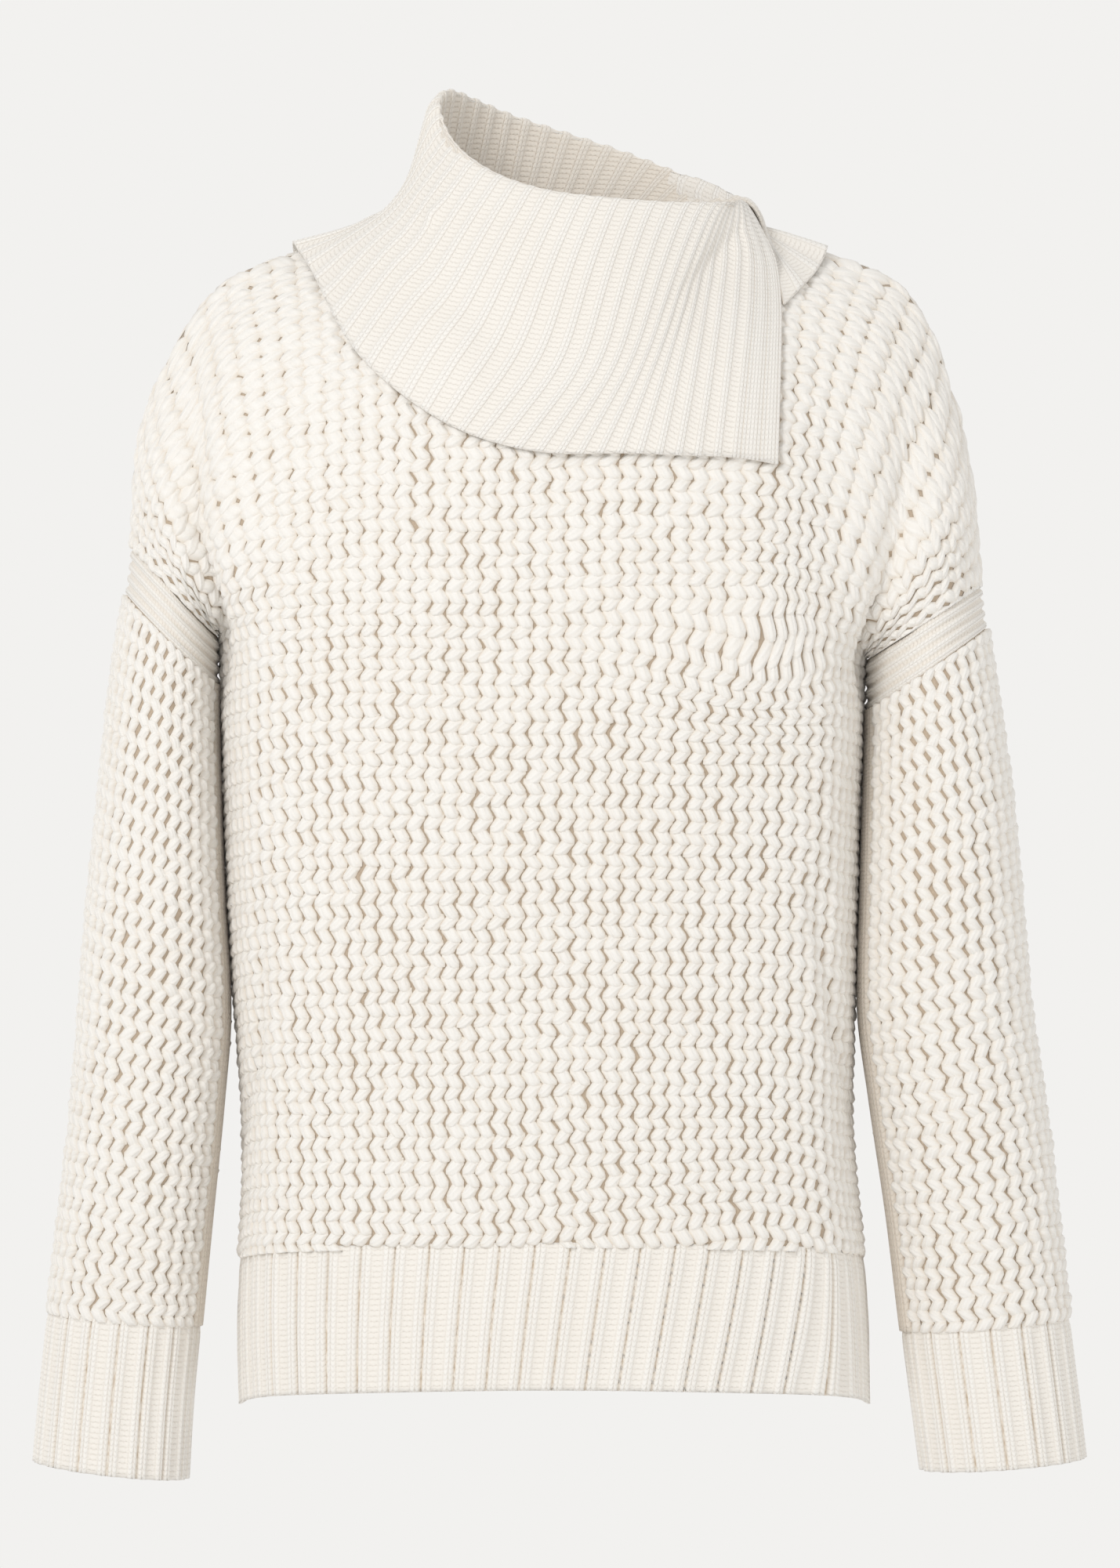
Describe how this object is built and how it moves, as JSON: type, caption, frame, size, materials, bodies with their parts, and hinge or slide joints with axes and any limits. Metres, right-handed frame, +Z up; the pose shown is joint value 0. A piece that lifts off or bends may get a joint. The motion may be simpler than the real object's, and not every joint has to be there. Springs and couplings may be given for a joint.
{
  "type": "knitted sweater",
  "caption": "Loose drop-shoulder sweater in chunky zigzag knit, with a wide ribbed collar folded over and split at one side, ribbed hem and cuffs.",
  "frame": {"origin": "centre of the neck opening, level with the shoulder line, on the body's centre plane", "axes": "+X to the wearer's left, -Y out of the front, +Z up from hem to collar"},
  "size_m": [0.5908, 0.2342, 0.7811],
  "materials": {
    "chunky_knit": "soft cream yarn in a raised zigzag stitch",
    "rib_knit": "soft cream yarn in a wide rib"
  },
  "bodies": {
    "root": {"front": "chunky_knit", "back": "chunky_knit", "right_sleeve": "chunky_knit", "left_sleeve": "chunky_knit", "front_hem": "rib_knit", "back_hem": "rib_knit", "right_armhole_band": "rib_knit", "left_armhole_band": "rib_knit", "right_cuff": "rib_knit", "left_cuff": "rib_knit", "collar": "rib_knit"}
  },
  "joints": []
}
